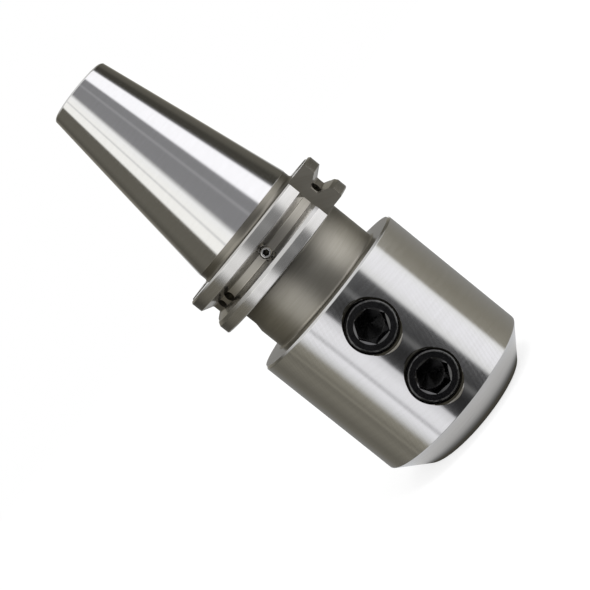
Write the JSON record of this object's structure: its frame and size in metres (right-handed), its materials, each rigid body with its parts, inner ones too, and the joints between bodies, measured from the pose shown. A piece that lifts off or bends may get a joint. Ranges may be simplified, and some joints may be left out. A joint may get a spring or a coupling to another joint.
{
  "type": "side-lock end mill holder",
  "caption": "Side-lock end mill holder with a steep taper shank, a V-grooved flange with drive slots and a clamping head with hexagon socket clamp screws.",
  "frame": {"origin": "centre of the nose face, on the tool axis", "axes": "+Z along the tool axis from the nose to the taper, -Y the way the clamp screws face, +X towards the side with the orientation notch"},
  "size_m": [0.065, 0.065, 0.1684],
  "materials": {
    "ground_steel": "ground and fine turned, oiled",
    "black_steel": "black oxide, glossy with oil"
  },
  "bodies": {
    "holder": {"holder_body": "ground_steel", "front_plug_screw": "ground_steel", "rear_plug_screw": "ground_steel"},
    "lower_screw": {"lower_clamp_screw": "black_steel"},
    "upper_screw": {"upper_clamp_screw": "black_steel"}
  },
  "joints": [
    {"name": "lower_screw_travel", "type": "slide", "parent": "holder", "child": "lower_screw", "axis": [0, -1, 0], "range_m": [-0.004, 0.014]},
    {"name": "upper_screw_travel", "type": "slide", "parent": "holder", "child": "upper_screw", "axis": [0, -1, 0], "range_m": [-0.004, 0.014]}
  ]
}
